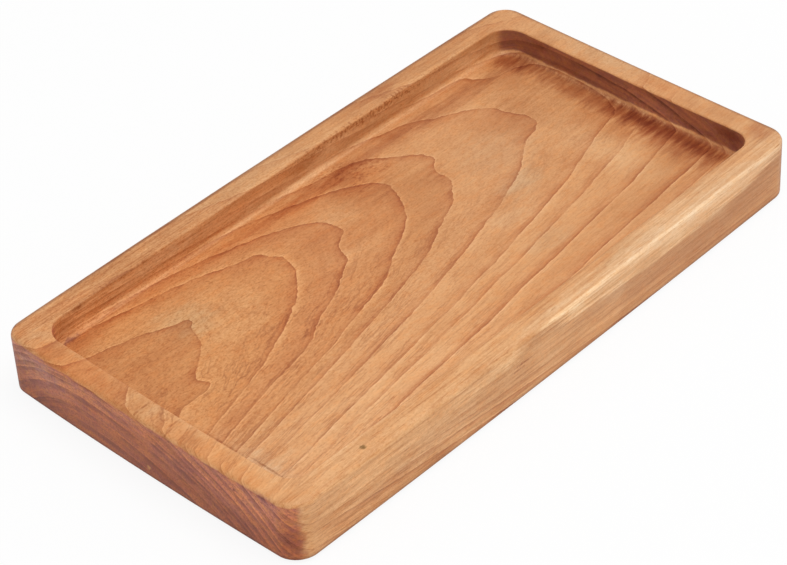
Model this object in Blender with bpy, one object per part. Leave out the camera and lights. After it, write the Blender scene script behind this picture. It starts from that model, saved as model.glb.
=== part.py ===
"""A small wooden serving tray: one board with a carved pocket, on four rubber bumper feet.

Metres, +Z up. The board's length runs along X and its width along Y. The origin is on the
surface that the tray stands on, below the middle of the board. The near end is at -X and
the right side at -Y.
"""

import math

import bmesh
import bpy

# Board. Its length and width are measured across the middles of its slightly bowed sides. Its
# near end is bowed too, and its far end is straight.
board_length = 0.280
board_width = 0.152
board_thickness = 0.026
board_corner_radius = 0.0095
side_bow = 0.0010
near_bow = 0.0011
top_edge_radius = 0.0022
bottom_edge_radius = 0.0007

# Pocket. The rim left round it isn't quite even, as on a tray finished by hand.
near_rim = 0.0104
far_rim = 0.0116
right_rim = 0.0108
left_rim = 0.0113
pocket_depth = 0.0118
pocket_corner_radius = 0.0092
pocket_lip_radius = 0.0009
pocket_cove_radius = 0.0027

# Feet. Each is glued in a shallow round seat, drilled in the underside near a corner.
foot_radius = 0.0050
foot_height = 0.0030
foot_standoff = 0.0012
foot_edge_radius = 0.0006
foot_inset = 0.0190
glue_gap = 0.0003
drill_overrun = 0.0020

# How finely the curves are divided
corner_steps = 10
side_steps = 8
end_steps = 4
edge_steps = 5
lip_steps = 3
cove_steps = 6
foot_sides = 32
foot_edge_steps = 3
sharp_angle = math.radians(50)

# Finishes
teak_colour = (0.59, 0.29, 0.12, 1)
teak_roughness = 0.55
rubber_colour = (0.035, 0.032, 0.030, 1)
rubber_roughness = 0.75

half_length = board_length / 2
half_width = board_width / 2
underside_z = foot_standoff
rim_z = underside_z + board_thickness
pocket_floor_z = rim_z - pocket_depth
board_x_range = (-half_length, half_length)
board_y_range = (-half_width, half_width)
pocket_x_range = (-half_length + near_rim, half_length - far_rim)
pocket_y_range = (-half_width + right_rim, half_width - left_rim)


def clear_scene():
    for obj in list(bpy.data.objects):
        bpy.data.objects.remove(obj, do_unlink=True)


def finish(name, colour, roughness):
    material = bpy.data.materials.new(name)
    material.use_nodes = True
    shader = material.node_tree.nodes["Principled BSDF"]
    shader.inputs["Base Color"].default_value = colour
    shader.inputs["Roughness"].default_value = roughness
    shader.inputs["Metallic"].default_value = 0
    material.diffuse_color = colour
    return material


def mesh_from(bm, name):
    bmesh.ops.recalc_face_normals(bm, faces=bm.faces)
    mesh = bpy.data.meshes.new(name)
    bm.to_mesh(mesh)
    bm.free()
    mesh.shade_smooth()
    mesh.set_sharp_from_angle(angle=sharp_angle)
    return mesh


def add_object(name, mesh, location=(0, 0, 0)):
    obj = bpy.data.objects.new(name, mesh)
    obj.location = location
    bpy.context.scene.collection.objects.link(obj)
    return obj


def bowed(x, y):
    """Draws a point in as it nears the corners, which bows the sides and the near end outwards."""
    near_draw = near_bow * (y / half_width) ** 2 * max(0, -x / half_length)
    side_draw = side_bow * (x / half_length) ** 2
    return x + near_draw, y * (1 - side_draw / half_width)


def rounded_outline(x_range, y_range, inset, radius):
    """Points round a rectangle with rounded corners, drawn in by the inset all round."""
    corners = (
        (x_range[1] - radius, y_range[1] - radius),
        (x_range[0] + radius, y_range[1] - radius),
        (x_range[0] + radius, y_range[0] + radius),
        (x_range[1] - radius, y_range[0] + radius),
    )
    points = []
    for quarter, (centre_x, centre_y) in enumerate(corners):
        for step in range(corner_steps + 1):
            angle = math.radians(90) * (quarter + step / corner_steps)
            x = centre_x + (radius - inset) * math.cos(angle)
            y = centre_y + (radius - inset) * math.sin(angle)
            points.append(bowed(x, y))
        next_x, next_y = corners[(quarter + 1) % len(corners)]
        steps = end_steps if quarter % 2 else side_steps
        for step in range(1, steps):
            run = step / steps
            points.append(bowed(x + run * (next_x - centre_x), y + run * (next_y - centre_y)))
    return points


def board_ring(inset, z):
    outline = rounded_outline(board_x_range, board_y_range, inset, board_corner_radius)
    return [(x, y, z) for x, y in outline]


def pocket_ring(inset, z):
    outline = rounded_outline(pocket_x_range, pocket_y_range, inset, pocket_corner_radius)
    return [(x, y, z) for x, y in outline]


def quarter_turn(radius, steps):
    """How far a quarter circle has left its start and come to its end, at each step round it."""
    for step in range(steps + 1):
        angle = math.radians(90) * step / steps
        yield radius * (1 - math.cos(angle)), radius * (1 - math.sin(angle))


def board_rings():
    """The board's skin, from its underside up its sides, over the rim and down to the pocket's floor."""
    rings = [
        board_ring(inset=to_go, z=underside_z + risen)
        for risen, to_go in quarter_turn(bottom_edge_radius, edge_steps)
    ]
    rings += [
        board_ring(inset=turned_in, z=rim_z - to_go)
        for turned_in, to_go in quarter_turn(top_edge_radius, edge_steps)
    ]
    rings += [
        pocket_ring(inset=-to_go, z=rim_z - sunk)
        for sunk, to_go in quarter_turn(pocket_lip_radius, lip_steps)
    ]
    rings += [
        pocket_ring(inset=turned_in, z=pocket_floor_z + to_go)
        for turned_in, to_go in quarter_turn(pocket_cove_radius, cove_steps)
    ]
    return rings


def loft(rings):
    """One closed skin through the rings, with a flat face on the first and on the last."""
    bm = bmesh.new()
    loops = [[bm.verts.new(point) for point in ring] for ring in rings]
    for lower, upper in zip(loops, loops[1:]):
        for corner in range(len(lower)):
            before = corner - 1
            bm.faces.new((lower[before], lower[corner], upper[corner], upper[before]))
    for end in (loops[0], loops[-1]):
        bm.faces.new(end)
    return bm


def cylinder(radius, bottom_z, top_z):
    bm = bmesh.new()
    bmesh.ops.create_cone(
        bm,
        cap_ends=True,
        segments=foot_sides,
        radius1=radius,
        radius2=radius,
        depth=top_z - bottom_z,
    )
    bmesh.ops.translate(bm, verts=bm.verts, vec=(0, 0, (bottom_z + top_z) / 2))
    return bm


def foot_mesh():
    """A short cylinder with its lower edge rounded."""
    bm = cylinder(foot_radius, 0, foot_height)
    bottom_edges = [
        edge for edge in bm.edges if all(vert.co.z < foot_height / 2 for vert in edge.verts)
    ]
    bmesh.ops.bevel(
        bm,
        geom=bottom_edges,
        offset=foot_edge_radius,
        segments=foot_edge_steps,
        profile=0.5,
        affect="EDGES",
        clamp_overlap=True,
    )
    return mesh_from(bm, "foot")


def seat_mesh():
    """What the drill takes out of the underside for one foot and its glue."""
    bm = cylinder(foot_radius + glue_gap, -drill_overrun, foot_height + glue_gap)
    return mesh_from(bm, "seat")


def cut_seat(board, name, mesh, location):
    drill = add_object(name, mesh, location)
    drill.hide_render = True
    drill.display_type = "WIRE"
    cut = board.modifiers.new(name, "BOOLEAN")
    cut.operation = "DIFFERENCE"
    cut.solver = "EXACT"
    cut.object = drill


def add_board(teak):
    mesh = mesh_from(loft(board_rings()), "board")
    mesh.materials.append(teak)
    return add_object("tray_board", mesh)


def add_feet(board, rubber):
    foot = foot_mesh()
    foot.materials.append(rubber)
    seat = seat_mesh()
    x_reach = half_length - foot_inset
    y_reach = half_width - foot_inset
    for end, x in (("near", -x_reach), ("far", x_reach)):
        for side, y in (("right", -y_reach), ("left", y_reach)):
            add_object(f"foot_{end}_{side}", foot, (x, y, 0))
            cut_seat(board, f"seat_{end}_{side}", seat, (x, y, 0))


def build():
    clear_scene()
    board = add_board(finish("teak", teak_colour, teak_roughness))
    add_feet(board, finish("rubber", rubber_colour, rubber_roughness))


build()
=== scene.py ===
"""The looks of a small wooden tray, carved from one teak board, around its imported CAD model.

The finished board replaces the CAD board, and four moulded rubber bumpers replace the CAD feet.
Lengths are in metres where nothing else is said. A name that ends in _mm is in millimetres,
which is what the wood's grain is laid out in. The near end is at -X and the right side at -Y.
"""

import math

import bmesh
import bpy
from mathutils import Euler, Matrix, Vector, noise


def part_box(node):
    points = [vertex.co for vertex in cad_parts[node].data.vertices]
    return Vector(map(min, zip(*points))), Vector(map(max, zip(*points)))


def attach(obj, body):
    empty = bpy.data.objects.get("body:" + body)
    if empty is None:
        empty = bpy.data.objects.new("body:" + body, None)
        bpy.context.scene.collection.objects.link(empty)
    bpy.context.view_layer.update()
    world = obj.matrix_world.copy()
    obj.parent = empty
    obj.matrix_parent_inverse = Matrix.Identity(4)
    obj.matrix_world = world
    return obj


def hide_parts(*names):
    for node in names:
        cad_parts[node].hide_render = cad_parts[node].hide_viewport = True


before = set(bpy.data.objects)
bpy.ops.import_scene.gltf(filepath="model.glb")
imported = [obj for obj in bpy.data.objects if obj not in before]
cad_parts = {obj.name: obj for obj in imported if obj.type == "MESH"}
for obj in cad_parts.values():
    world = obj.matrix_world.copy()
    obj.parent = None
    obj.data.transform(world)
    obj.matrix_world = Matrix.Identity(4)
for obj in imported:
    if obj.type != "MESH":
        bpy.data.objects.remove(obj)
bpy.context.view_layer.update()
board_low, board_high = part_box("tray_board")

# Board. Its near end is bowed outwards, and its far end is a little hollow. Sanding has drawn the
# sides in beside the near left corner.
near_left_outer = 0.0075
near_left_draw = 0.0003
other_outer_corners = 0.0095
top_edge_radius = 0.0022
bottom_edge_radius = 0.0007
side_bow = 0.0010
near_bow = 0.0011
far_hollow = 0.0005

# Pocket. The rim is the width of wood left on each side of it.
near_rim = 0.0104
far_rim = 0.0116
right_rim = 0.0108
left_rim = 0.0113
pocket_depth = 0.0118
near_right_corner = 0.0090
near_left_corner = 0.0094
far_left_corner = 0.0104
far_right_corner = 0.0076
lip_radius = 0.0009
cove_radius = 0.0027

# Hand finishing: how far sanding has taken the surface in, and how long its waves are
sanding_depth = 0.00016
sanding_wave = 0.034
pocket_waver = 0.00022
pocket_wave = 0.019

# Bumper feet and the seats that they are glued in
foot_inset = 0.0190
seat_radius = 0.0053
seat_top = 0.0033
foot_taper = 0.0003
foot_edge_radius = 0.0007
foot_dimple_radius = 0.0016
foot_dimple_flat = 0.00096
foot_dimple_depth = 0.0005

# How finely the surfaces are divided
corner_segments = 14
edge_segments = 7
lip_segments = 4
cove_segments = 8
seat_segments = 40
grid_step = 0.0060
drill_overrun = 0.0020

# Points this close together count as one place, or are merged. A face is steep when its normal
# rises by less than the third number.
same_place = 1e-5
merge_distance = 1e-6
steep_face = 0.3

half_length = board_high.x
half_width = board_high.y
rim_z = board_high.z
underside_z = board_low.z
floor_z = rim_z - pocket_depth

# Growth rings. The board is sawn beside the pith, which lies below it and drops away from it
# towards the far end, so each ring leaves an arch on the pocket's floor. The rings are flatter
# on the right of the pith than on the left. The fall and the bends are measured over the run, and
# the left's spread takes over from the right's within one turn of the pith.
pith_y_mm = 35.6
pith_bend_mm = 2.7
pith_lean = 0.38
pith_depth_mm = 52.4
pith_fall_mm = 8.97
pith_fall_bend_mm = 0.47
pith_run_mm = 100
pith_turn_mm = 8
right_spread = 0.62
right_steepening = 0.073
left_spread = 0.99
left_steepening = -0.19
steepening_reach_mm = 60
smallest_slope = 0.07
widest_ring_mm = 8

# How long the waves in the rings' ragged edges are along x, y and z, and how far they reach, and
# how far the fine lines of the grain are drawn out across the rings, along x and along y
ragged_wave_mm = (5, 4, 4)
raggedness_mm = (3.0, 2.2, 0.12)
grain_line_mm = (0.34, 85, 30)

# Where the rings' outer edges lie, out from the pith, and how strongly each one shows
ring_radii_mm = (
    36, 42, 48, 54.3, 60.4, 64.8, 67.15, 70.1, 72.45, 76.5, 81.3, 84.5, 89.6, 96.4, 100.0, 103.4,
    106.4, 109.0, 111.3, 113.4, 115.2, 117.2, 118.9, 120.8, 122.5, 124.4, 126, 128,
)
ring_strengths = (
    0.6, 0.6, 0.7, 0.8, 0.8, 1.0, 0.95, 1.0, 0.85, 0.75, 0.85, 0.6, 0.9, 1.0, 0.6, 0.5,
    0.5, 0.4, 0.4, 0.3, 0.4, 0.3, 0.35, 0.3, 0.3, 0.3, 0.3, 0.3,
)

# Places where the rings swell or sink: middle (x, y), reach (x, y) and rise of the radius, in mm
ring_swells_mm = (
    (-106, 3, 15, 11, -1.0), (-82, 37, 9, 6, -0.4), (-102, 5, 8, 5, -0.45),
    (-118, -3, 10, 7, -1.0), (-38, 46, 10, 6, -0.4), (98, 64, 18, 7, -1.0),
    (-66, -9, 34, 12, -0.6), (-14, -5, 44, 13, -0.6), (33, 6, 24, 12, -0.35),
    (30, 58, 26, 14, -1.0), (47, 27, 12, 9, 0.45), (-14, 24, 12, 9, 0.35), (96, 20, 20, 16, -0.75),
    (108, 52, 14, 9, 0.7), (62, 60, 16, 10, -0.6), (120, -2, 24, 9, -0.7), (-110, -40, 60, 8, 0.3),
    (0, -52, 60, 9, -0.6), (112, -31, 36, 8, 0.4), (-100, -54, 40, 8, -0.4),
    (-141, -44, 15, 38, -0.95),
)
# The same, on the near rim alone
rim_swells_mm = (
    (-134, 47, 24, 26, 1.8),
    (-132, 15, 16, 12, 0.35),
    (-135, -14, 24, 16, -1.7),
)

# A patch of the finish fades from its core, which is this share of its reach.
soft_core = 0.2
# How far the patches creep sideways along the grain
grain_creep_mm = 0.3
floor_patch_z_mm = 15
rim_patch_z_mm = 28
flat_patch_reach_mm = 5


def flat_patches(z, rows):
    """Patches of a level face, each given as middle x and y, reach x and y, and strength."""
    for x, y, reach_x, reach_y, strength in rows:
        yield (x, y, z), (reach_x, reach_y, flat_patch_reach_mm), strength


def on_floor(*rows):
    return flat_patches(floor_patch_z_mm, rows)


def on_rim(*rows):
    return flat_patches(rim_patch_z_mm, rows)


# The other patches are given as middle (x, y, z), reach along each axis in mm, and strength.
# Stains are soaked with oil.
stains_mm = (
    *on_floor(
        (-118, 59, 26, 6, 0.35), (24, 56.5, 100, 5, 0.6), (88, 54, 50, 6, 0.4),
    ),
    *on_rim(
        (58, 71, 15, 5, 0.45),
    ),
    ((18, 52, 15.4), (14, 8, 3), 0.3), ((128.4, -52, 24), (5, 8, 4), 0.5),
    ((128.4, 45, 23.5), (5, 5, 3), 0.4), ((-92, -77, 9.2), (36, 5, 2.5), 0.3),
    ((134, -64, 28), (9, 10, 4), 0.6), ((-140, 54, 6), (6, 24, 6), 0.35),
    ((-140, 29, 18), (6, 12, 4), 0.45), ((-139, -72, 11), (8, 8, 9), 0.5),
    ((-140, -10, 6), (6, 22, 5), 0.35),
)
# Painted shade, reddened as by light bounced off the far wall, on the floor along the foot of the
# far wall.
far_foot_shade_mm = (
    ((125, -34, 15), (19, 46, 3), 1.0), ((126, 46, 15), (12, 14, 3), 0.7),
    ((129, 5, 15), (7, 75, 3), 0.5), ((123.2, -22, 15.4), (5, 46, 3), 0.6),
    ((121.5, -44, 15.4), (5, 13, 3), 0.7), ((123.0, -13, 15.4), (4, 8, 3), 0.6),
    ((122.5, 4, 15.4), (8, 60, 3), 0.8), ((121, 55, 15.4), (9, 9, 3), 1.0),
)
# Shade is where the wood has darkened a little, except the long strip along the right rim's inner
# lip, which is painted shade where the lip turns away from the light.
shade_mm = (
    *on_floor(
        (16, 45, 20, 18, 1.0), (30, 24, 22, 24, 0.8), (12, 0, 26, 16, 0.6), (94, 26, 18, 16, 0.9),
        (112, -6, 18, 15, 0.6), (108, 45, 22, 20, 0.7), (112, 20, 22, 20, 0.6),
        (108, -42, 30, 16, 0.5), (78, -48, 34, 10, 0.7), (56, -4, 30, 10, 0.5),
        (104, 55, 12, 8, 0.5),
    ),
    *on_rim(
        (0, 73, 190, 10, 0.7), (-86, 70, 32, 9, 1.0), (-60, 70, 14, 7, 0.5), (42, 71, 20, 5, 0.6),
        (58, 70, 12, 5, 0.6), (134, -46, 8, 10, 0.8), (-136, -23, 7, 6, 0.9), (88, 70, 50, 6, 0.8),
        (-136, 0, 9, 90, 0.55), (112, -67.5, 26, 3, 0.9), (130, 44, 6, 10, 0.8),
        (130, -34, 6, 10, 0.6),
    ),
    ((40, -67.4, 28), (18, 2.4, 4), 0.9), ((-135, 51, 28), (8, 9, 4), 1.3),
    ((-140, -6, 22.5), (4, 6, 4), 0.8), ((128.4, 30, 20), (3, 14, 7), 1.1),
    # The second patch on the next line is painted shade along the right rim's inner lip.
    ((8, 65, 21), (12, 4, 7), 0.8), ((20, -65.6, 27.5), (150, 1.6, 2), 0.8),
    ((128, -53, 24), (4, 9, 4), 1.0), ((128.4, 48, 20), (3, 7, 7), 0.6),
    ((10, 65, 23), (16, 4, 5), 0.9), ((68, 65, 23), (18, 4, 4), 0.6),
    ((-68, -77, 4.5), (13, 4, 5), 1.0), ((92, -77, 4.5), (13, 4, 4), 0.6),
    ((82, -77, 8), (24, 4, 8), 0.5), ((134, -10, 28), (4, 16, 4), 0.4),
    ((-140, 6, 17), (4, 18, 6), 0.7), ((46, 65, 18.5), (46, 4, 5), 1.0),
    ((-32, 64.5, 17.2), (50, 3, 3.5), 1.0),
)
# Warm patches lean to orange.
warm_mm = (
    *on_floor(
        (118, -8, 16, 18, 0.5), (-60, 58, 80, 5, 0.5), (10, 55, 34, 6, 1.0), (22, 46, 18, 9, 1.0),
        (-20, 55, 40, 8, 0.6),
    ),
    *on_rim(
        (-136, 43, 8, 34, 1.5), (-136, -34, 8, 44, 1.0), (135, -16, 8, 18, 0.7),
        (110, -68, 16, 4, 0.8),
    ),
    ((-100, 65, 23), (34, 4, 5), 0.7), ((-35, 65, 20), (16, 4, 7), 0.6),
    ((30, -67.5, 28), (13, 2, 4), 0.7), ((134, -10, 28), (4, 18, 4), 0.6),
    ((-12, 65, 23), (30, 4, 4), 0.8), ((-64, 65, 18), (34, 4, 5), 0.8),
    ((-110, 67.5, 28), (14, 2.5, 4), 0.8), ((-10, -77, 16.5), (32, 4, 5), 0.5),
    ((-118, -77, 8), (16, 4, 7), 0.5), ((100, -77, 22), (40, 4, 5), 0.4),
    ((-140, -54, 5), (4, 24, 5), 0.6),
)
# Ashy patches have lost some of their oil.
ash_mm = (
    *on_floor(
        (70, 18, 26, 20, 0.5), (-122, -42, 10, 26, 0.7), (-82, 38, 16, 16, 1.0),
        (40, -35, 16, 8, 0.6), (62, -2, 16, 8, 0.8),
    ),
    *on_rim(
        (-15, 71, 50, 8, 0.5), (136, 14, 8, 60, 0.7),
    ),
    ((-139, 62, 21), (6, 24, 8), 1.0), ((-139, 40, 20), (6, 34, 5), 0.5),
    ((-134, 63, 28), (7, 7, 4), 0.5), ((-140, 58, 15), (4, 22, 12), 0.6),
)
# Pale patches are worn or rubbed dry.
pale_mm = (
    *on_floor(
        (-68, 26, 24, 24, 0.6), (-117, -43, 16, 3, 0.8), (-72, -50, 74, 15, 0.4),
        (-110, -26, 16, 8, 0.6), (48, -16, 20, 8, 0.5), (-6, 14, 14, 12, 0.5),
        (-125, -38, 5, 24, 0.5), (0, 39, 14, 13, 1.0), (40, -14, 14, 8, 0.6),
        (-20, 20, 14, 12, 0.5), (60, -5, 16, 8, 0.5), (-120, -22, 8, 30, 0.5),
        (99, -18, 14, 38, 0.8),
    ),
    *on_rim(
        (-105, -67, 42, 3, 0.6), (25, -72, 56, 5, 0.5), (-134, 9.5, 6, 4, 0.9),
    ),
    ((0, 65, 21), (180, 4, 7), 0.55), ((-86, 65, 21), (60, 4, 7), 0.9),
    ((100, 65, 21), (28, 4, 7), 1.0), ((-117, 65, 18), (16, 4, 6), 0.8),
    ((-48, -77, 14), (100, 4, 15), 0.6), ((85, -74.5, 27), (110, 4, 3.5), 0.50),
    ((38, -70.5, 28), (20, 2.5, 4), 0.6), ((-135, 0, 28), (7, 7, 4), 0.9),
    ((84, -70, 28), (90, 8, 6), 0.9), ((-28, -76.5, 23), (12, 4, 4), 0.7),
    ((32, -77, 16), (11, 4, 5), 0.6), ((92, -77, 16.5), (11, 4, 4), 0.5),
    ((-133, 2, 28), (6, 5, 4), 0.5), ((-10, -73, 27.5), (13, 2.5, 3), 0.5),
    ((-140, -58, 20), (5, 16, 8), 0.45),
)
# Light patches have dried out more on the outside of the board than in its pocket. Those on the
# pocket's far wall, at x 128.2 and 128.4, are painted reflected light.
light_and_reflection_mm = (
    ((-70, -77, 22), (72, 4, 5), 0.5), ((-104, -77, 20), (24, 4, 12), 0.6),
    # The patches at x 128.2 and 128.4 on this line and the next two are painted reflected light on
    # the far wall.
    ((-108, 65, 19), (18, 4, 6), 0.7), ((128.4, -30, 21), (4, 40, 9), 0.7),
    ((128.2, -22, 17.5), (2.5, 24, 3), 1.0), ((128.4, -12, 21), (3, 22, 5), 1.0),
    ((128.4, 32, 23.5), (4, 7, 3), 1.0), ((128.4, 32, 17.5), (4, 7, 2.5), 0.7),
    ((-28, -76.5, 24), (12, 4, 4), 1.0), ((22, -77, 9), (24, 4, 9), 0.45),
    ((-108, -77, 5), (12, 4, 4), 0.5), ((-110, 65, 17), (18, 4, 4), 0.6),
    ((104, 65, 20), (18, 4, 7), 0.5), ((-140, -60, 7), (4, 12, 6), 0.5),
    ((-140, -31, 17), (4, 8, 4), 0.8), ((-140, 52, 13), (5, 26, 8), 0.8),
    ((-140, -48, 15), (5, 30, 8), 0.7),
)
# Painted highlights: pale lines where the floor turns up into the walls and the cove catches the
# light.
cove_highlights_mm = (
    ((0, 63.6, 16.3), (168, 2.1, 1.7), (1.15, 1.28, 1.40)),
    ((126.9, 0, 15.8), (0.8, 72, 0.8), (1.15, 1.30, 1.42)),
    ((124.5, 60.5, 16.0), (4, 4, 0.9), (1.20, 1.40, 1.60)),
)
# The rings fade here.
fades_mm = (
    *on_rim(
        (-137, -58, 9, 6, 1.0), (-137, -66, 9, 5, 0.6),
    ),
    ((60, -77, 16), (90, 5, 14), 0.6), ((-128, -77, 14), (18, 5, 14), 0.6),
    ((134, 0, 28), (7, 60, 4), 0.45),
)

# Bands of wood on the right side: middle, reach, core and tint
side_bands_mm = (
    ((78, -76, 27), (98, 20, 27), 0.6, (0.88, 0.83, 0.83)),
    ((64, -76, 27), (78, 20, 11), 0.82, (1.46, 1.82, 2.16)),
)

# Small marks, and some painted shade: middle, reach and tint
marks_and_shade_mm = (
    ((-99.7, -70.2, 27), (1.9, 1.4, 1.5), (0.38, 0.38, 0.24)),
    ((-140, -2.2, 5.7), (1.3, 1.2, 1.2), (1.8, 3.0, 1.9)),
    # The next two are painted shadow: a dark line on the floor just inside the near lip.
    ((-121.0, -21, 15.4), (0.7, 17, 1), (0.80, 0.70, 0.62)),
    ((-119.9, -42, 15.4), (0.7, 12, 1), (0.66, 0.55, 0.48)),
    ((-118, 62.2, 16.2), (6, 1.8, 2.0), (0.52, 0.38, 0.46)),
    ((-111, 64.6, 25.6), (6, 1.6, 1.6), (0.62, 0.50, 0.42)),
    ((-88, 64.8, 26.5), (38, 1.0, 0.8), (0.72, 0.60, 0.50)),
    ((-121, -75.4, 26.5), (17, 0.9, 0.7), (0.70, 0.62, 0.60)),
    ((-137, 62.8, 27), (3.5, 0.7, 2), (0.80, 0.68, 0.58)),
    ((-132.5, 61.0, 27.2), (3.5, 0.7, 1.5), (0.80, 0.68, 0.58)),
    # The next two are painted shade down the rounded corners at the far right and near left, which
    # turn away from the light.
    ((136.8, -73.4, 12), (5.0, 5.0, 17), (0.70, 0.62, 0.68)),
    ((-138.9, 71.6, 12), (4.0, 4.0, 17), (0.80, 0.78, 0.86)),
    ((128.3, -56, 22.5), (3, 7, 4), (0.74, 0.66, 0.80)),
    ((-139.5, -60, 25.5), (2, 9, 1.8), (0.72, 0.62, 0.80)),
    ((-133.5, 3.6, 27.2), (4, 0.7, 1.5), (0.72, 0.58, 0.48)),
    ((-138.2, 3.4, 27), (3, 0.7, 1.5), (0.72, 0.58, 0.48)),
    ((-133.5, -11.0, 27.2), (4, 0.7, 1.5), (0.72, 0.58, 0.48)),
    ((-138.2, -12.7, 27), (3, 0.7, 1.5), (0.72, 0.58, 0.48)),
    ((-140, -46.6, 21.3), (2, 1.4, 1.0), (0.45, 0.36, 0.34)),
    ((-21.5, -76, 17.2), (7, 3, 0.8), (0.60, 0.42, 0.33)),
    ((-25, -76, 15.6), (5, 3, 0.7), (0.74, 0.60, 0.52)),
)

# Where the grain has lifted in small specks: middle, reach and strength
speckled_mm = (
    ((17, 58, 15), (17, 9, 5), 0.9), ((30, 51, 15), (13, 9, 5), 1.0),
    ((19, 45, 15), (9, 6, 5), 1.0), ((50, 65, 24), (70, 3, 4), 0.4),
    ((-85, 65, 22), (50, 3, 5), 0.25),
)

# Where the cutter has chattered, just below the lip on the left: middle, reach and tint
chatter_mm = (((50, 65.0, 25.4), (66, 2.0, 3.2), (0.68, 0.54, 0.44)),)

# Colours of the freshly sanded face, by the distance from the pith in mm
face_colours_mm = (
    (50, (0.640, 0.290, 0.102)), (60, (0.670, 0.304, 0.108)), (61, (0.715, 0.332, 0.122)),
    (64, (0.710, 0.325, 0.118)), (66, (0.670, 0.292, 0.108)), (69, (0.715, 0.330, 0.126)),
    (71, (0.725, 0.352, 0.142)), (74, (0.775, 0.405, 0.180)), (84, (0.800, 0.425, 0.188)),
    (96, (0.800, 0.425, 0.188)), (106, (0.800, 0.430, 0.196)),
    (114, (0.800, 0.440, 0.202)), (120, (0.830, 0.482, 0.238)),
    (128, (0.840, 0.496, 0.252)),
)
end_wood = (0.505, 0.152, 0.052, 1)
end_wood_purple = (0.378, 0.114, 0.063, 1)
wall_wood = (0.400, 0.146, 0.070, 1)
wall_wood_purple = (0.310, 0.117, 0.073, 1)

# Where the dark band inside a ring's outer edge starts and where it is full, and how fast it and
# the slow drift of the colour across each ring fall off
band_mm = (5.512, 0.212)
band_fall = 1.8
drift_fall = 1.6

# Tints, which the colour below is multiplied by
drift_tint = (0.90, 0.80, 0.74)
band_tint = (0.86, 0.72, 0.64)
line_tint = (0.64, 0.50, 0.43)
flash_tint = (1.09, 1.15, 1.22)
streak_tint = (0.82, 0.70, 0.58)
speck_tint = (0.76, 0.62, 0.50)
dry_tint = (1.07, 1.12, 1.16)
orange_tint = (1.05, 0.94, 0.80)
# This tint serves both the stains and the painted shade at the foot of the far wall.
stain_and_shade_tint = (0.62, 0.40, 0.31)
pale_tint = (1.07, 1.20, 1.36)
shade_tint = (0.86, 0.79, 0.72)
warm_tint = (1.00, 0.88, 0.76)
ash_tint = (0.95, 1.10, 1.30)
light_and_reflection_tint = (1.22, 1.26, 1.26)
# The next tint is painted shade for the edges that turn away from the light.
edge_shade_tint = (0.52, 0.46, 0.47)
speckled_tint = (0.74, 0.56, 0.44)
far_tint = (0.88, 0.83, 0.79)
end_band_tint = (0.62, 0.55, 0.60)
end_line_tint = (0.56, 0.50, 0.52)
end_top_tint = (1.45, 1.64, 1.78)
end_edge_tint = (0.95, 1.00, 1.12)
olive_tint = (1.05, 1.14, 0.84)
plum_tint = (0.95, 0.85, 1.02)
end_speck_tint = (0.62, 0.52, 0.54)
end_light_tint = (1.20, 1.23, 1.22)

# Oiled surface. The roughness swings about its middle, and the grain is pressed in.
wood_roughness = 0.52
wood_roughness_swing = 0.16
wood_gloss = 0.3
wood_bump = 0.5
bump_height = 0.0001

# Painted shade on the lower edge, and on the arris on the left and at the far end, which turn away
# from the light: where it starts and where it is full
left_edge_shade_mm = (72.6, 74.2)
far_edge_shade_mm = (136.6, 138.4)
upper_edge_shade_mm = (25.2, 26.2)
lower_edge_shade_mm = (3.4, 1.7)
edge_shade_strength = 0.85

# Rubber
rubber_black = (0.030, 0.028, 0.027, 1)
rubber_bloom = (0.060, 0.058, 0.055, 1)
rubber_roughness = 0.72
rubber_roughness_swing = 0.2
rubber_bump = 0.3

# Studio
camera_place = (-0.5842, -0.5752, 0.6619)
camera_heading = 45.05
camera_pitch = -38.83
camera_roll = 3.50
camera_lens_mm = 125.5
sensor_width_mm = 36
camera_sight = 100
lamp_place = (0.22, -0.42, 1.60)
lamp_size = 1.1
lamp_power = 14.2
studio_floor_size = 8.0
paper_roughness = 0.9
studio_white = (0.93, 0.93, 0.93, 1)
daylight_strength = 0.57
floor_glow = 0.90


def close(first, second):
    return abs(first - second) < same_place


def block(low, high):
    bm = bmesh.new()
    bmesh.ops.create_cube(bm, size=1)
    bmesh.ops.scale(bm, verts=bm.verts, vec=[b - a for a, b in zip(low, high)])
    bmesh.ops.translate(bm, verts=bm.verts, vec=[(a + b) / 2 for a, b in zip(low, high)])
    return bm


def round_edges(bm, edges, radius, segments):
    bmesh.ops.bevel(
        bm,
        geom=edges,
        offset=radius,
        offset_type="OFFSET",
        affect="EDGES",
        segments=segments,
        profile=0.5,
        material=-1,
        clamp_overlap=False,
    )


def round_corner(bm, x, y, radius):
    upright = [
        edge for edge in bm.edges if all(close(v.co.x, x) and close(v.co.y, y) for v in edge.verts)
    ]
    round_edges(bm, upright, radius, corner_segments)


def edges_at(bm, z):
    return [edge for edge in bm.edges if all(close(v.co.z, z) for v in edge.verts)]


def mesh_from(name, bm):
    mesh = bpy.data.meshes.new(name)
    bm.to_mesh(mesh)
    bm.free()
    return mesh


def add_object(name, data):
    made = bpy.data.objects.new(name, data)
    bpy.context.scene.collection.objects.link(made)
    return made


def helper(name, bm):
    """A short-lived object for a Boolean."""
    bmesh.ops.recalc_face_normals(bm, faces=bm.faces)
    return add_object(name, mesh_from(name, bm))


def cut_away(blank, cutters):
    """The blank's mesh as a bmesh, with every cutter taken out of it."""
    for cutter in cutters:
        cut = blank.modifiers.new(cutter.name, "BOOLEAN")
        cut.operation = "DIFFERENCE"
        cut.solver = "EXACT"
        cut.object = cutter
    bpy.context.view_layer.update()
    carved = blank.evaluated_get(bpy.context.evaluated_depsgraph_get()).to_mesh()
    bm = bmesh.new()
    bm.from_mesh(carved)
    for spare in (blank, *cutters):
        bpy.data.objects.remove(spare, do_unlink=True)
    return bm


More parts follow.
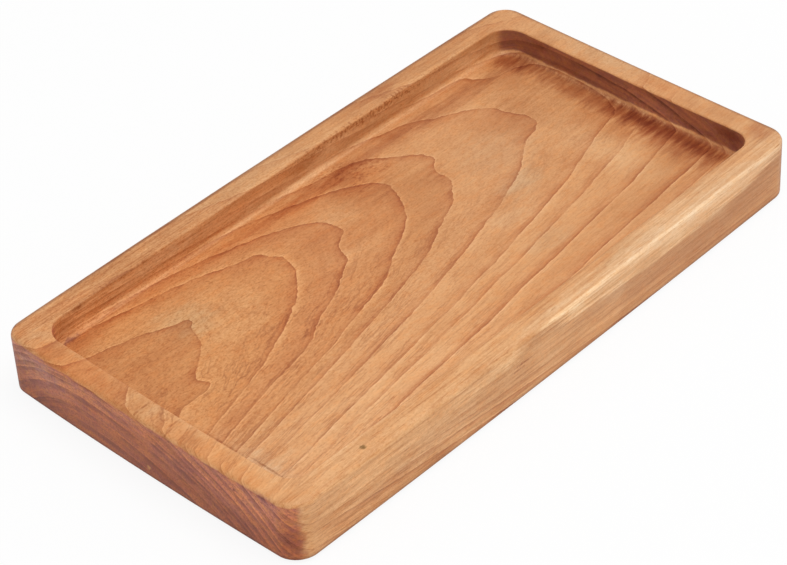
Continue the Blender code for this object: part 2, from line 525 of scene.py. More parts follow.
def board_blank():
    bm = block(board_low, board_high)
    for x in (-half_length, half_length):
        for y in (-half_width, half_width):
            near_left = x < 0 < y
            round_corner(bm, x, y, near_left_outer if near_left else other_outer_corners)
    round_edges(bm, edges_at(bm, rim_z), top_edge_radius, edge_segments)
    round_edges(bm, edges_at(bm, underside_z), bottom_edge_radius, edge_segments)
    return helper("board blank", bm)


def pocket_cutter():
    near, far = -half_length + near_rim, half_length - far_rim
    right, left = -half_width + right_rim, half_width - left_rim
    bm = block((near, right, floor_z), (far, left, rim_z + drill_overrun))
    round_corner(bm, near, right, near_right_corner)
    round_corner(bm, near, left, near_left_corner)
    round_corner(bm, far, left, far_left_corner)
    round_corner(bm, far, right, far_right_corner)
    round_edges(bm, edges_at(bm, floor_z), cove_radius, cove_segments)
    return helper("pocket cutter", bm)


def foot_places():
    x_reach = half_length - foot_inset
    y_reach = half_width - foot_inset
    for end, x in (("near", -x_reach), ("far", x_reach)):
        for side, y in (("right", -y_reach), ("left", y_reach)):
            yield f"{end}_{side}", x, y


def seat_cutter(name, x, y):
    bm = bmesh.new()
    bottom = underside_z - drill_overrun
    bmesh.ops.create_cone(
        bm,
        cap_ends=True,
        segments=seat_segments,
        radius1=seat_radius,
        radius2=seat_radius,
        depth=seat_top - bottom,
    )
    bmesh.ops.translate(bm, verts=bm.verts, vec=(x, y, (bottom + seat_top) / 2))
    return helper(name, bm)


def round_lip(bm):
    """Softens the edge where the pocket's walls meet the rim."""
    lip = [
        edge
        for edge in edges_at(bm, rim_z)
        if any(abs(face.normal.z) < steep_face for face in edge.link_faces)
    ]
    round_edges(bm, lip, lip_radius, lip_segments)


def cut_grid(bm):
    """Cuts crosswise and lengthwise, so that flat faces can bend with the bow and the sanding."""
    for axis, reach in ((Vector((1, 0, 0)), half_length), (Vector((0, 1, 0)), half_width)):
        count = int(reach / grid_step)
        for step in range(-count, count + 1):
            geom = list(bm.verts) + list(bm.edges) + list(bm.faces)
            place = axis * (step * grid_step)
            bmesh.ops.bisect_plane(
                bm, geom=geom, dist=merge_distance, plane_co=place, plane_no=axis
            )


def bow(point):
    """Bows the sides and the near end outwards, and hollows the far end."""
    length_share, width_share = point.x / half_length, point.y / half_width
    if point.x < 0:
        point.x -= length_share * near_bow * width_share ** 2
    else:
        point.x -= length_share * far_hollow * (1 - width_share ** 2)
    point.y -= width_share * side_bow * length_share ** 2
    if length_share < 0 < width_share:
        point.x -= length_share * near_left_draw * width_share ** 4
        point.y -= width_share * near_left_draw * length_share ** 6


def sand(point, normal):
    """Takes the surface in by up to the sanding depth, and lets the pocket's wall waver."""
    wave = noise.noise(point / sanding_wave)
    depth = sanding_depth * (0.5 + 0.5 * wave)
    if point.z > underside_z + bottom_edge_radius:
        point -= normal * depth
    in_pocket = abs(point.x) < half_length - near_rim + cove_radius
    in_pocket = in_pocket and abs(point.y) < half_width - right_rim + cove_radius
    if in_pocket and floor_z - grid_step < point.z < rim_z - lip_radius:
        waver = noise.noise(Vector((point.x, point.y, 0)) / pocket_wave)
        point -= normal * pocket_waver * waver


def add_carved_board(finish):
    cutters = [seat_cutter(f"seat {name}", x, y) for name, x, y in foot_places()]
    bm = cut_away(board_blank(), [pocket_cutter(), *cutters])
    round_lip(bm)
    cut_grid(bm)
    bmesh.ops.recalc_face_normals(bm, faces=bm.faces)
    bm.normal_update()
    normals = [vert.normal.copy() for vert in bm.verts]
    for vert, normal in zip(bm.verts, normals):
        bow(vert.co)
        sand(vert.co, normal)
    add_piece("carved_board", bm, finish, "tray_board")


def add_piece(name, bm, finish, node):
    mesh = mesh_from(name, bm)
    mesh.shade_smooth()
    mesh.materials.append(finish)
    piece = add_object(name, mesh)
    weighted = piece.modifiers.new("even shading", "WEIGHTED_NORMAL")
    weighted.mode = "FACE_AREA_WITH_ANGLE"
    weighted.keep_sharp = True
    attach(piece, "root")
    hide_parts(node)


def bumper_profile(low, high):
    """The bumper's outline from its middle underneath, round its edge and up into its seat."""
    radius = (high.x - low.x) / 2
    dimple_z = low.z + foot_dimple_depth
    points = [(0, dimple_z), (foot_dimple_flat, dimple_z), (foot_dimple_radius, low.z)]
    for step in range(edge_segments + 1):
        angle = math.radians(90) * step / edge_segments
        out = radius - foot_edge_radius * (1 - math.sin(angle))
        points.append((out - foot_taper, low.z + foot_edge_radius * (1 - math.cos(angle))))
    points += [(radius, high.z), (0, high.z)]
    return points


def add_bumper(name, finish):
    node = f"foot_{name}"
    low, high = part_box(node)
    middle = (low + high) / 2
    bm = bmesh.new()
    verts = [bm.verts.new((middle.x + out, middle.y, z)) for out, z in bumper_profile(low, high)]
    edges = [bm.edges.new(pair) for pair in zip(verts, verts[1:])]
    bmesh.ops.spin(
        bm,
        geom=verts + edges,
        cent=middle,
        axis=(0, 0, 1),
        angle=math.radians(360),
        steps=seat_segments,
        use_merge=True,
    )
    bmesh.ops.remove_doubles(bm, verts=bm.verts, dist=merge_distance)
    bmesh.ops.recalc_face_normals(bm, faces=bm.faces)
    add_piece(f"bumper_{name}", bm, finish, node)


class Nodes:
    """Places nodes in one tree and joins them up. A value may be a socket or a plain number."""

    def __init__(self, tree):
        self.tree = tree

    def node(self, kind, **settings):
        made = self.tree.nodes.new(kind)
        for name, value in settings.items():
            setattr(made, name, value)
        return made

    def feed(self, socket, value):
        if isinstance(value, bpy.types.NodeSocket):
            self.tree.links.new(value, socket)
        else:
            socket.default_value = value

    def feed_all(self, made, *values):
        """Feeds the node's sockets in their order, and gives its outputs."""
        for socket, value in zip(made.inputs, values):
            self.feed(socket, value)
        return made.outputs

    def math(self, operation, *values):
        return self.feed_all(self.node("ShaderNodeMath", operation=operation), *values)[0]

    def times(self, first, *others):
        for other in others:
            first = self.math("MULTIPLY", first, other)
        return first

    def vector(self, operation, *values):
        outputs = self.feed_all(self.node("ShaderNodeVectorMath", operation=operation), *values)
        return outputs["Value" if operation in ("LENGTH", "DOT_PRODUCT") else "Vector"]

    def scaled(self, vector, amount):
        made = self.node("ShaderNodeVectorMath", operation="SCALE")
        self.feed(made.inputs[0], vector)
        self.feed(made.inputs["Scale"], amount)
        return made.outputs["Vector"]

    def parts(self, vector):
        return self.feed_all(self.node("ShaderNodeSeparateXYZ"), vector)

    def point(self, x, y, z):
        return self.feed_all(self.node("ShaderNodeCombineXYZ"), x, y, z)[0]

    def between(self, value, start, end, low=0.0, high=1.0, shape="SMOOTHSTEP"):
        """Low before the start, high after the end, and a smooth step in between."""
        made = self.node("ShaderNodeMapRange", interpolation_type=shape)
        return self.feed_all(made, value, start, end, low, high)[0]

    def evenly(self, *values):
        """The same with a straight slope in between."""
        return self.between(*values, shape="LINEAR")

    def noise_outputs(self, place, stretch, detail, roughness):
        made = self.node("ShaderNodeTexNoise")
        self.feed(made.inputs["Vector"], self.vector("DIVIDE", place, stretch))
        self.feed(made.inputs["Scale"], 1.0)
        self.feed(made.inputs["Detail"], detail)
        self.feed(made.inputs["Roughness"], roughness)
        return made.outputs

    def noise(self, place, stretch, detail=2, roughness=0.5):
        """Noise from 0 to 1 whose marks are drawn out by the stretch along each axis, in mm."""
        return self.noise_outputs(place, stretch, detail, roughness)[0]

    def noise_vector(self, place, stretch, detail=2, roughness=0.5):
        """Three noises from 0 to 1 that have nothing to do with each other."""
        return self.noise_outputs(place, stretch, detail, roughness)["Color"]

    def ramp(self, value, stops):
        """A colour for each value from 0 to 1, straight between the stops."""
        made = self.node("ShaderNodeValToRGB")
        self.feed(made.inputs[0], value)
        elements = made.color_ramp.elements
        elements[0].position, elements[1].position = stops[0][0], stops[-1][0]
        elements[0].color, elements[1].color = stops[0][1], stops[-1][1]
        for position, colour in stops[1:-1]:
            elements.new(position).color = colour
        return made.outputs[0]

    def mix(self, share, first, second, blend="MIX"):
        made = self.node("ShaderNodeMix", data_type="RGBA", blend_type=blend, clamp_factor=True)
        self.feed(made.inputs[0], share)
        self.feed(made.inputs[6], first)
        self.feed(made.inputs[7], second)
        return made.outputs[2]

    def tint(self, colour, tint, *shares):
        """The colour multiplied by the tint, as far as the shares say, all multiplied together."""
        return self.mix(self.times(*shares), colour, (*tint, 1), "MULTIPLY")

    def group(self, tree, **values):
        made = self.node("ShaderNodeGroup", node_tree=tree)
        for name, value in values.items():
            self.feed(made.inputs[name], value)
        return made.outputs


def new_group(name, **inputs):
    """A node group with its named inputs, as its nodes and what they give."""
    tree = bpy.data.node_groups.new(name, "ShaderNodeTree")
    for label, kind in inputs.items():
        tree.interface.new_socket(name=label, in_out="INPUT", socket_type=f"NodeSocket{kind}")
    nodes = Nodes(tree)
    return nodes, nodes.node("NodeGroupInput").outputs


def close_group(nodes, **outputs):
    """Gives the group its named outputs, and returns its tree."""
    interface = nodes.tree.interface
    for label in outputs:
        interface.new_socket(name=label, in_out="OUTPUT", socket_type="NodeSocketFloat")
    results = nodes.node("NodeGroupOutput").inputs
    for label, value in outputs.items():
        nodes.feed(results[label], value)
    return nodes.tree


def new_material(name, roughness):
    material = bpy.data.materials.new(name)
    material.use_nodes = True
    shader = material.node_tree.nodes["Principled BSDF"]
    shader.inputs["Roughness"].default_value = roughness
    shader.inputs["Metallic"].default_value = 0
    return material, Nodes(material.node_tree), shader


def let_roughness_vary(nodes, shader, value, middle, swing):
    rough = nodes.math("MULTIPLY_ADD", value, swing, middle - swing / 2)
    nodes.feed(shader.inputs["Roughness"], rough)


def press_in(nodes, shader, height, strength):
    bump = nodes.node("ShaderNodeBump")
    nodes.feed(bump.inputs["Strength"], strength)
    nodes.feed(bump.inputs["Distance"], bump_height)
    nodes.feed(bump.inputs["Height"], height)
    nodes.feed(shader.inputs["Normal"], bump.outputs[0])


def place_in_mm(nodes):
    coordinates = nodes.node("ShaderNodeTexCoord")
    return nodes.vector("MULTIPLY", coordinates.outputs["Object"], (1000, 1000, 1000))


def surface_normal(nodes):
    return nodes.node("ShaderNodeTexCoord").outputs["Normal"]


def pith_distance(nodes, x, y, z):
    """The distance from the pith in mm, and how steeply it rises along each axis."""
    run = nodes.math("DIVIDE", x, pith_run_mm)
    run_squared = nodes.times(run, run)
    bend = nodes.times(run_squared, pith_bend_mm)
    above_floor = nodes.math("SUBTRACT", z, floor_z * 1000)
    lean = nodes.times(above_floor, pith_lean)
    pith_y = nodes.math("ADD", nodes.math("SUBTRACT", pith_y_mm, bend), lean)
    beside = nodes.math("SUBTRACT", y, pith_y)
    side = nodes.between(beside, -pith_turn_mm, pith_turn_mm)
    share = nodes.math("POWER", nodes.math("DIVIDE", beside, steepening_reach_mm), 2)
    right = nodes.math("MULTIPLY_ADD", share, right_spread * right_steepening, right_spread)
    left = nodes.math("MULTIPLY_ADD", share, left_spread * left_steepening, left_spread)
    spread = nodes.evenly(side, 0, 1, right, left)
    across = nodes.times(beside, spread)
    fall = nodes.times(run, pith_fall_mm)
    fall_bend = nodes.math("MULTIPLY_ADD", run_squared, pith_fall_bend_mm, fall)
    above = nodes.math("ADD", nodes.math("ADD", z, pith_depth_mm), fall_bend)
    radius = nodes.vector("LENGTH", nodes.point(across, above, 0))
    rise = nodes.math("DIVIDE", above, radius)
    rise_y = nodes.times(nodes.math("DIVIDE", across, radius), spread)
    rise_z = nodes.math("MULTIPLY_ADD", rise_y, -pith_lean, rise)
    rise_x = nodes.times(rise, pith_fall_mm / pith_run_mm)
    return radius, nodes.point(rise_x, rise_y, rise_z)


def slope_along_surface(nodes, rises):
    """How fast the radius rises along the surface, where the board cuts through the rings."""
    into_surface = nodes.vector("DOT_PRODUCT", rises, surface_normal(nodes))
    lost = nodes.times(into_surface, into_surface)
    left_over = nodes.math("SUBTRACT", nodes.vector("DOT_PRODUCT", rises, rises), lost)
    return nodes.math("SQRT", nodes.math("MAXIMUM", left_over, smallest_slope ** 2))


def with_swells(nodes, radius, x, y, swells, share):
    for middle_x, middle_y, reach_x, reach_y, rise in swells:
        from_x = nodes.math("DIVIDE", nodes.math("SUBTRACT", x, middle_x), reach_x)
        from_y = nodes.math("DIVIDE", nodes.math("SUBTRACT", y, middle_y), reach_y)
        distance = nodes.vector("LENGTH", nodes.point(from_x, from_y, 0))
        swell = nodes.times(nodes.between(distance, 1, 0), share)
        radius = nodes.math("MULTIPLY_ADD", swell, rise, radius)
    return radius


def curve(nodes, value, points):
    """A number for each value from 0 to 1, straight between the points."""
    made = nodes.node("ShaderNodeFloatCurve")
    nodes.feed(made.inputs["Value"], value)
    on_curve = made.mapping.curves[0].points
    on_curve[0].location, on_curve[1].location = points[0], points[-1]
    for point in points[1:-1]:
        on_curve.new(*point)
    for point in on_curve:
        point.handle_type = "VECTOR"
    made.mapping.update()
    return made.outputs[0]


def ring_count(nodes, radius):
    """Counts the rings out from the pith, evenly across the width of each."""
    inner, outer = ring_radii_mm[0], ring_radii_mm[-1]
    last = len(ring_radii_mm) - 1
    points = [
        ((ring_radius - inner) / (outer - inner), number / last)
        for number, ring_radius in enumerate(ring_radii_mm)
    ]
    return nodes.times(curve(nodes, nodes.evenly(radius, inner, outer), points), last)


def for_each_ring(nodes, number, values, largest):
    """The value that the ring with this number has, counted out from the pith."""
    last = len(values)
    middles = [((ring + 0.5) / last, value / largest) for ring, value in enumerate(values)]
    points = [(0, middles[0][1]), *middles, (1, middles[-1][1])]
    share = nodes.math("DIVIDE", nodes.math("ADD", number, 0.5), last)
    return nodes.times(curve(nodes, share, points), largest)


def growth_rings():
    """How far the surface is in mm, along itself, inside the ring's outer edge and outside its
    inner one. Across runs from 0 to 1 through each ring. Lines and Bands are noise along it.
    """
    nodes, given = new_group("growth rings", Place="Vector")
    place = given["Place"]
    ragged = nodes.noise_vector(place, ragged_wave_mm, 4, 0.6)
    ragged = nodes.vector("SUBTRACT", ragged, (0.5, 0.5, 0.5))
    ragged = nodes.vector("MULTIPLY", ragged, raggedness_mm)
    calmer_on_right = nodes.between(nodes.parts(place)[1], 5, -35, 1.0, 0.45)
    moved = nodes.vector("ADD", place, nodes.scaled(ragged, calmer_on_right))
    x, y, z = nodes.parts(moved)
    radius, rises = pith_distance(nodes, x, y, z)
    radius = with_swells(nodes, radius, x, y, ring_swells_mm, 1.0)
    on_rim_only = nodes.between(z, 20, 24)
    radius = with_swells(nodes, radius, x, y, rim_swells_mm, on_rim_only)
    count = ring_count(nodes, radius)
    number = nodes.math("FLOOR", count)
    across = nodes.math("FRACT", count)
    widths = [outer - inner for inner, outer in zip(ring_radii_mm, ring_radii_mm[1:])]
    width = for_each_ring(nodes, number, widths, widest_ring_mm)
    width = nodes.math("DIVIDE", width, slope_along_surface(nodes, rises))
    along = nodes.vector("DIVIDE", nodes.point(radius, x, y), grain_line_mm)
    return close_group(
        nodes,
        Radius=radius,
        Across=across,
        Inside=nodes.times(nodes.math("SUBTRACT", 1, across), width),
        Outside=nodes.times(across, width),
        Dark=for_each_ring(nodes, number, ring_strengths[1:], 1),
        Pale=for_each_ring(nodes, number, ring_strengths[:-1], 1),
        Lines=nodes.noise(along, (1, 1, 1), 3, 0.65),
        Bands=nodes.noise(along, (5, 1, 0.9), 4, 0.65),
    )


def fibres():
    """Streaks are long and soft, Threads long and fine, and Specks and Fuzz the finest grain."""
    nodes, given = new_group("fibres", Place="Vector")
    place = given["Place"]
    return close_group(
        nodes,
        Streaks=nodes.noise(place, (60, 2.4, 2.4), 4, 0.6),
        Threads=nodes.noise(place, (26, 0.7, 0.7), 2, 0.6),
        Specks=nodes.noise(place, (2.2, 0.8, 0.8), 2, 0.6),
        Fuzz=nodes.noise(place, (1.1, 0.65, 0.65), 2, 0.7),
    )


def patch():
    """1 in a patch's core and 0 past its reach. The core is given as a share of the reach."""
    nodes, given = new_group(
        "patch", Place="Vector", Middle="Vector", Reach="Vector", Waver="Float", Core="Float"
    )
    from_middle = nodes.vector("SUBTRACT", given["Place"], given["Middle"])
    distance = nodes.vector("LENGTH", nodes.vector("DIVIDE", from_middle, given["Reach"]))
    distance = nodes.math("ADD", distance, given["Waver"])
    return close_group(nodes, Share=nodes.between(distance, 1.0, given["Core"]))


def patch_share(nodes, place, middle, reach, waver, core=soft_core):
    tree = bpy.data.node_groups.get("patch") or patch()
    sockets = nodes.group(tree, Place=place, Middle=middle, Reach=reach, Waver=waver, Core=core)
    return sockets["Share"]


def with_patches(nodes, place, crept, colour):
    """The colour with its patches, and then with the lines and marks that have their own tints."""
    waver = nodes.noise(place, (14, 2.6, 2.6), 4, 0.65)
    waver = nodes.evenly(waver, 0, 1, -0.7, 0.7)
    facing_up = nodes.between(nodes.parts(surface_normal(nodes))[2], 0.50, 0.80)
    speckles = nodes.between(nodes.noise(place, (1.8, 1.0, 1.0), 3, 0.6), 0.46, 0.64)
    kinds = (
        (stains_mm, stain_and_shade_tint, ()),
        (shade_mm, shade_tint, ()),
        (warm_mm, warm_tint, ()),
        (ash_mm, ash_tint, ()),
        (pale_mm, pale_tint, ()),
        # Light patches: drier wood, and painted reflected light on the far wall.
        (light_and_reflection_mm, light_and_reflection_tint, ()),
        # Painted shade on the floor at the foot of the far wall, on faces that look up.
        (far_foot_shade_mm, stain_and_shade_tint, (facing_up,)),
        (speckled_mm, speckled_tint, (speckles,)),
    )
    for patches, tint, limits in kinds:
        for middle, reach, strength in patches:
            share = patch_share(nodes, crept, middle, reach, waver)
            colour = nodes.tint(colour, tint, share, strength, *limits)
    broken = nodes.evenly(waver, -0.5, 0.5, 0.2, -0.15)
    crumbs = nodes.evenly(nodes.noise(place, (1.3, 1.3, 1.3)), 0, 1, -0.7, 0.7)
    chatter = nodes.noise(place, (1.2, 4.0, 1.3), 2, 0.6)
    chatter = nodes.evenly(chatter, 0.42, 0.62, 0.9, -0.2)
    # The cove lines here are painted highlights along the foot of the walls.
    for patches, edge in ((cove_highlights_mm, broken), (marks_and_shade_mm, crumbs), (chatter_mm, chatter)):
        for middle, reach, tint in patches:
            share = patch_share(nodes, crept, middle, reach, edge)
            colour = nodes.tint(colour, tint, share)
    return colour


def with_side_bands(nodes, place, crept, colour):
    """The band of sapwood on the right side, and the darker wood below it."""
    facing_right = nodes.between(nodes.parts(surface_normal(nodes))[1], -0.35, -0.85)
    calm = nodes.evenly(nodes.noise(place, (30, 3, 1.6), 4, 0.6), 0, 1, -0.3, 0.3)
    for middle, reach, core, tint in side_bands_mm:
        share = patch_share(nodes, crept, middle, reach, calm, core)
        colour = nodes.tint(colour, tint, share, facing_right)
    return colour


def far_share(nodes, x):
    """0 on the near end and 1 on the pocket's far wall and the far end."""
    return nodes.between(x, 100, 110)


def end_grain_share(nodes, place):
    """1 where the surface is cut across the fibres, with a crisp border along the top edge."""
    x, _, z = nodes.parts(surface_normal(nodes))
    ragged = nodes.math("SUBTRACT", nodes.noise(place, (6, 5, 5), 3, 0.6), 0.5)
    amount = nodes.between(far_share(nodes, nodes.parts(place)[0]), 0, 1, 0.5, 0.06)
    across = nodes.math("MULTIPLY_ADD", ragged, amount, nodes.math("ABSOLUTE", x))
    upwards = nodes.math("MULTIPLY_ADD", ragged, 0.6, z)
    return nodes.times(nodes.between(across, 0.34, 0.70), nodes.between(upwards, 0.50, 0.20))


def ring_visibility(nodes, place, radius):
    """Below 1 on the left wall, on the rims and far out on the right, where the rings show less."""
    x, y, _ = nodes.parts(place)
    shown = nodes.times(
        nodes.between(y, 60, 65, 1.0, 0.45),
        nodes.between(x, 127, 130, 1.0, 0.5),
        nodes.between(x, -128, -130, 1.0, 0.75),
        nodes.between(radius, 98, 107, 1.0, 0.3),
    )
    for middle, reach, strength in fades_mm:
        share = patch_share(nodes, place, middle, reach, 0.0)
        shown = nodes.times(shown, nodes.math("MULTIPLY_ADD", share, -strength, 1))
    return shown


def near_right_share(nodes, x, y):
    """1 on the near right of the floor, where the rings are calmer."""
    return nodes.times(nodes.between(x, -30, -110), nodes.between(y, 20, -5))


def with_rings(nodes, place, rings, colour):
    """Darkens the wood towards each ring's outer edge, and lightens it past the inner one."""
    x, y, _ = nodes.parts(place)
    shown = ring_visibility(nodes, place, rings["Radius"])
    uneven = nodes.noise(place, (17, 6, 6), 3, 0.6)
    shown = nodes.times(shown, nodes.between(uneven, 0.3, 0.62, 0.4, 1.1))
    dark = nodes.times(shown, rings["Dark"])
    pale = nodes.times(shown, rings["Pale"])
    calm = nodes.between(near_right_share(nodes, x, y), 0, 1, 1.0, 0.3)

    drift = nodes.math("POWER", rings["Across"], drift_fall)
    colour = nodes.tint(colour, drift_tint, drift, shown, calm)
    band = nodes.math("POWER", nodes.evenly(rings["Inside"], *band_mm), band_fall)
    late = nodes.between(rings["Across"], 0.3, 0.9)
    colour = nodes.tint(colour, band_tint, band, late, calm, dark)
    flash = nodes.between(rings["Outside"], 2.6, 0.6)
    inner = nodes.between(rings["Radius"], 67, 73, 1.0, 0.55)
    colour = nodes.tint(colour, flash_tint, flash, pale, inner)
    colour = nodes.tint(colour, flash_tint, nodes.between(rings["Outside"], 0.9, 0.2), pale)
    line = nodes.between(rings["Inside"], 1.5, 0.1, 0, 0.55)
    colour = nodes.tint(colour, line_tint, line, dark)

    off_line = nodes.math("ABSOLUTE", nodes.math("SUBTRACT", rings["Bands"], 0.5))
    fine_lines = nodes.times(
        nodes.between(off_line, 0.028, 0.004),
        nodes.between(y, 30, 0, 0.15, 0.6),
        nodes.between(x, -60, 60, 1.0, 0.35),
    )
    return nodes.tint(colour, line_tint, fine_lines, shown)


def with_grain(nodes, place, rings, fibre, colour):
    """Clouds, streaks, threads and specks. The wood also darkens towards the far end."""
    x, y, _ = nodes.parts(place)
    streaky = nodes.between(y, 58, 64, 0.22, nodes.between(x, -70, 0, 1.0, 0.5))
    streaky = nodes.math("ADD", streaky, nodes.between(y, -64, -67, 0, 0.5))
    near = nodes.times(
        nodes.between(x, 60, -100, 0.5, 0.85),
        nodes.between(y, 0, -40, 1.0, 0.6),
        nodes.between(x, -128, -131, 1.0, 0.75),
    )
    colour = nodes.tint(colour, far_tint, nodes.between(x, -90, 130))
    clouds = nodes.noise(place, (24, 9, 9), 4, 0.6)
    colour = nodes.tint(colour, streak_tint, nodes.between(clouds, 0.45, 0.72, 0, 0.5))
    colour = nodes.tint(colour, dry_tint, nodes.between(clouds, 0.48, 0.25, 0, 0.5))

    lines = nodes.between(x, -40, 80, 0.42, 0.28)
    lines = nodes.between(near_right_share(nodes, x, y), 0, 1, lines, 0.25)
    colour = nodes.tint(colour, streak_tint, nodes.between(rings["Lines"], 0.44, 0.72, 0, lines))
    streaks = nodes.between(fibre["Streaks"], 0.46, 0.68)
    colour = nodes.tint(colour, streak_tint, streaks, streaky)
    threads = nodes.between(fibre["Threads"], 0.48, 0.70)
    colour = nodes.tint(colour, streak_tint, threads, streaky)
    colour = nodes.tint(colour, dry_tint, nodes.between(fibre["Threads"], 0.47, 0.32, 0, 0.4))
    hue = nodes.noise(place, (5, 2.4, 2.4), 3, 0.65)
    colour = nodes.tint(colour, orange_tint, nodes.between(hue, 0.44, 0.70, 0, 0.6))

    specks = nodes.between(fibre["Specks"], 0.50, 0.70, 0, 0.7)
    colour = nodes.tint(colour, speck_tint, specks, near)
    dashes = nodes.between(nodes.noise(place, (8, 0.55, 0.55), 2, 0.6), 0.62, 0.70)
    on_right_rim = nodes.between(y, -64, -67, 0, 0.8)
    colour = nodes.tint(colour, speck_tint, dashes, on_right_rim)
    colour = nodes.tint(colour, speck_tint, nodes.between(fibre["Fuzz"], 0.47, 0.70), near)
    return nodes.tint(colour, flash_tint, nodes.between(fibre["Fuzz"], 0.46, 0.26), near)


def face_colour(nodes, place, rings, fibre):
    """The wood as it shows where it is cut along its fibres."""
    innermost, outermost = face_colours_mm[0][0], face_colours_mm[-1][0]
    span = outermost - innermost
    stops = [((radius - innermost) / span, (*wood, 1)) for radius, wood in face_colours_mm]
    colour = nodes.ramp(nodes.evenly(rings["Radius"], innermost, outermost), stops)
    colour = with_rings(nodes, place, rings, colour)
    return with_grain(nodes, place, rings, fibre, colour)


def with_end_rings(nodes, place, rings, colour, far, mottle):
    uneven = nodes.between(nodes.noise(place, (9, 11, 5), 3, 0.6), 0.34, 0.62, 0.1, 1.2)
    band = nodes.between(rings["Inside"], 3.6, 0.3)
    shown = nodes.between(far, 0, 1, uneven, 0.3)
    colour = nodes.tint(colour, end_band_tint, band, rings["Dark"], shown)
    line = nodes.between(rings["Inside"], 2.6, 0.4)
    strong = nodes.between(rings["Dark"], 0.5, 0.9)
    mottled = nodes.between(mottle, 0, 1, 0.45, 1.0)
    colour = nodes.tint(colour, end_line_tint, line, far, strong, mottled)
    flash = nodes.between(rings["Outside"], 2.2, 0.3, 0, 0.35)
    return nodes.tint(colour, end_light_tint, flash, uneven)


def end_colour(nodes, place, rings):
    """The wood as it shows where it is cut across its fibres: redder, with soft dark bands."""
    x, _, z = nodes.parts(place)
    far = far_share(nodes, x)
    mottle = nodes.math("ADD", rings["Bands"], nodes.noise(place, (9, 8, 4), 4, 0.7))
    mottle = nodes.between(mottle, 0.82, 1.20)
    near_end = nodes.mix(mottle, end_wood, end_wood_purple)
    near_end = nodes.tint(near_end, end_top_tint, nodes.between(z, 8, 25))
    near_end = nodes.tint(near_end, end_edge_tint, nodes.between(z, 21.5, 25))
    colour = nodes.mix(far, near_end, nodes.mix(mottle, wall_wood, wall_wood_purple))
    blotches = nodes.noise(place, (2.6, 2.4, 1.7), 3, 0.6)
    colour = nodes.tint(colour, olive_tint, nodes.between(blotches, 0.50, 0.68, 0, 0.8))
    colour = nodes.tint(colour, plum_tint, nodes.between(blotches, 0.50, 0.32, 0, 0.7))
    colour = with_end_rings(nodes, place, rings, colour, far, mottle)

    grain = nodes.between(far, 0, 1, 0.42, 0.3)
    colour = nodes.tint(colour, end_speck_tint, nodes.between(rings["Lines"], 0.46, 0.68), grain)
    colour = nodes.tint(colour, end_light_tint, nodes.between(rings["Lines"], 0.46, 0.28), grain)
    specks = nodes.noise(place, (1.4, 0.8, 0.8), 3, 0.7)
    shown = nodes.between(far, 0, 1, 0.8, 0.4)
    colour = nodes.tint(colour, end_speck_tint, nodes.between(specks, 0.50, 0.68), shown)
    return nodes.tint(colour, end_light_tint, nodes.between(specks, 0.48, 0.30), shown)


def with_edge_shade(nodes, place, colour):
    """Paints shade on the lower edge, and on the arris on the left and at the far end, where they
    turn away from the light.
    """
    x, y, z = nodes.parts(place)
    run = nodes.math("DIVIDE", x, half_length * 1000)
    bowed = nodes.math("MULTIPLY_ADD", nodes.times(run, run), side_bow * 1000, y)
    left, far = nodes.between(bowed, *left_edge_shade_mm), nodes.between(x, *far_edge_shade_mm)
    upper = nodes.times(nodes.math("MAXIMUM", left, far), nodes.between(z, *upper_edge_shade_mm))
    edge_shade = nodes.math("MAXIMUM", upper, nodes.between(z, *lower_edge_shade_mm))
    return nodes.tint(colour, edge_shade_tint, edge_shade, edge_shade_strength)


def teak():
    material, nodes, shader = new_material("oiled teak", wood_roughness)
    shader.inputs["Specular IOR Level"].default_value = wood_gloss
    place = place_in_mm(nodes)
    rings = nodes.group(growth_rings(), Place=place)
    fibre = nodes.group(fibres(), Place=place)

    colour = face_colour(nodes, place, rings, fibre)
    end = end_grain_share(nodes, place)
    colour = nodes.mix(end, colour, end_colour(nodes, place, rings))
    creep = nodes.math("MULTIPLY_ADD", rings["Bands"], grain_creep_mm, -grain_creep_mm / 2)
    crept = nodes.vector("ADD", place, nodes.point(0, creep, 0))
    colour = with_patches(nodes, place, crept, colour)
    colour = with_side_bands(nodes, place, crept, colour)
    # The edges that turn away from the light get painted shade here.
    nodes.feed(shader.inputs["Base Color"], with_edge_shade(nodes, place, colour))

    height = nodes.math("SUBTRACT", fibre["Fuzz"], fibre["Specks"])
    press_in(nodes, shader, height, wood_bump)
    let_roughness_vary(nodes, shader, fibre["Fuzz"], wood_roughness, wood_roughness_swing)
    return material


def rubber():
    material, nodes, shader = new_material("foot rubber", rubber_roughness)
    place = place_in_mm(nodes)
    bloom = nodes.noise(place, (1.6, 1.6, 1.6), 3, 0.6)
    nodes.feed(shader.inputs["Base Color"], nodes.mix(bloom, rubber_black, rubber_bloom))
    press_in(nodes, shader, nodes.noise(place, (0.25, 0.25, 0.25)), rubber_bump)
    let_roughness_vary(nodes, shader, bloom, rubber_roughness, rubber_roughness_swing)
    return material


def seen_directly(nodes):
    """1 for the camera's rays and those that a gloss or a glass sends on, and 0 for the rest."""
    path = nodes.node("ShaderNodeLightPath").outputs
    seen = nodes.math("MAXIMUM", path["Is Camera Ray"], path["Is Glossy Ray"])
    return nodes.math("MAXIMUM", seen, path["Is Transmission Ray"])


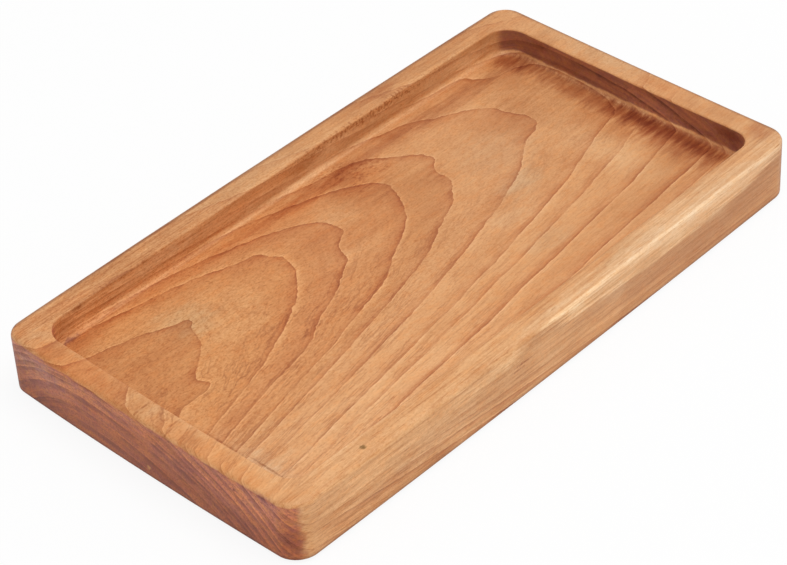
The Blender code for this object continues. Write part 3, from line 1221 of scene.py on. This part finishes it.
def add_world():
    world = bpy.data.worlds.new("studio")
    world.use_nodes = True
    bpy.context.scene.world = world
    nodes = Nodes(world.node_tree)
    background = world.node_tree.nodes["Background"]
    nodes.feed(background.inputs["Color"], (1, 1, 1, 1))
    strength = nodes.evenly(seen_directly(nodes), 0, 1, daylight_strength, 1)
    nodes.feed(background.inputs["Strength"], strength)


def add_floor():
    bm = bmesh.new()
    bmesh.ops.create_grid(bm, x_segments=1, y_segments=1, size=studio_floor_size / 2)
    floor = add_object("studio_floor", mesh_from("studio_floor", bm))
    material, nodes, paper = new_material("studio paper", paper_roughness)
    nodes.feed(paper.inputs["Base Color"], studio_white)
    nodes.feed(paper.inputs["Specular IOR Level"], 0.0)
    glow = nodes.node("ShaderNodeEmission")
    blend = nodes.node("ShaderNodeMixShader")
    share = nodes.times(seen_directly(nodes), floor_glow)
    nodes.feed_all(blend, share, paper.outputs[0], glow.outputs[0])
    output = material.node_tree.nodes["Material Output"]
    nodes.feed(output.inputs["Surface"], blend.outputs[0])
    floor.data.materials.append(material)


def add_lamp():
    """A square soft box overhead, aimed at the tray."""
    data = bpy.data.lights.new("soft box", "AREA")
    data.shape = "SQUARE"
    data.size = lamp_size
    data.energy = lamp_power
    lamp = add_object("soft box", data)
    lamp.location = lamp_place
    lamp.rotation_euler = Vector(lamp_place).to_track_quat("Z", "Y").to_euler()


def add_camera():
    data = bpy.data.cameras.new("camera")
    data.lens = camera_lens_mm
    data.sensor_width = sensor_width_mm
    data.clip_end = camera_sight
    camera = add_object("camera", data)
    tilt, heading = math.radians(90 + camera_pitch), math.radians(camera_heading - 90)
    turn = Euler((tilt, 0, heading)).to_matrix()
    roll = Euler((0, 0, math.radians(-camera_roll))).to_matrix()
    camera.rotation_euler = (turn @ roll).to_euler()
    camera.location = camera_place
    bpy.context.scene.camera = camera


bpy.context.scene.view_settings.view_transform = "Standard"
add_camera()
add_world()
add_floor()
add_lamp()
add_carved_board(teak())
foot_rubber = rubber()
for foot_name, *_ in foot_places():
    add_bumper(foot_name, foot_rubber)
